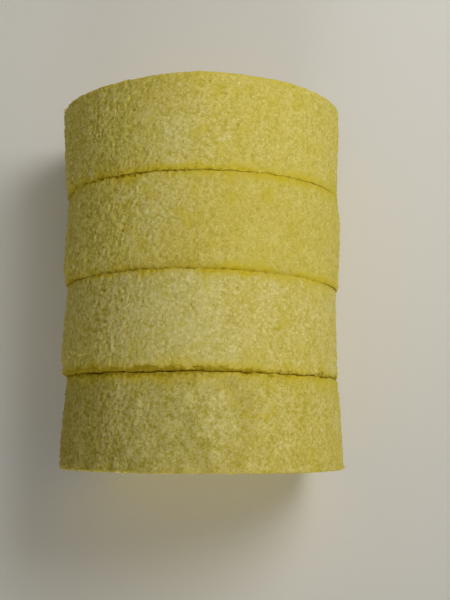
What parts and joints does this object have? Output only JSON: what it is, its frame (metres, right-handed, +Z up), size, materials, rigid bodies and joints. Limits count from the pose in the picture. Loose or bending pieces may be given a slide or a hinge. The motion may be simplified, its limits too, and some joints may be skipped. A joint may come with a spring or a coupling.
{
  "type": "lemon roll cake",
  "caption": "Soft round-topped sponge roll with a flat base, cut across into upright slices that stand together as one loaf.",
  "frame": {"origin": "middle of the flat base", "axes": "+Y along the roll towards its back, +X across it, +Z up"},
  "size_m": [0.0874, 0.1122, 0.0739],
  "materials": {
    "sponge": "soft matte lemon sponge with a fine open crumb"
  },
  "bodies": {
    "root": {"slice_1": "sponge", "slice_2": "sponge", "slice_3": "sponge", "slice_4": "sponge"}
  },
  "joints": []
}
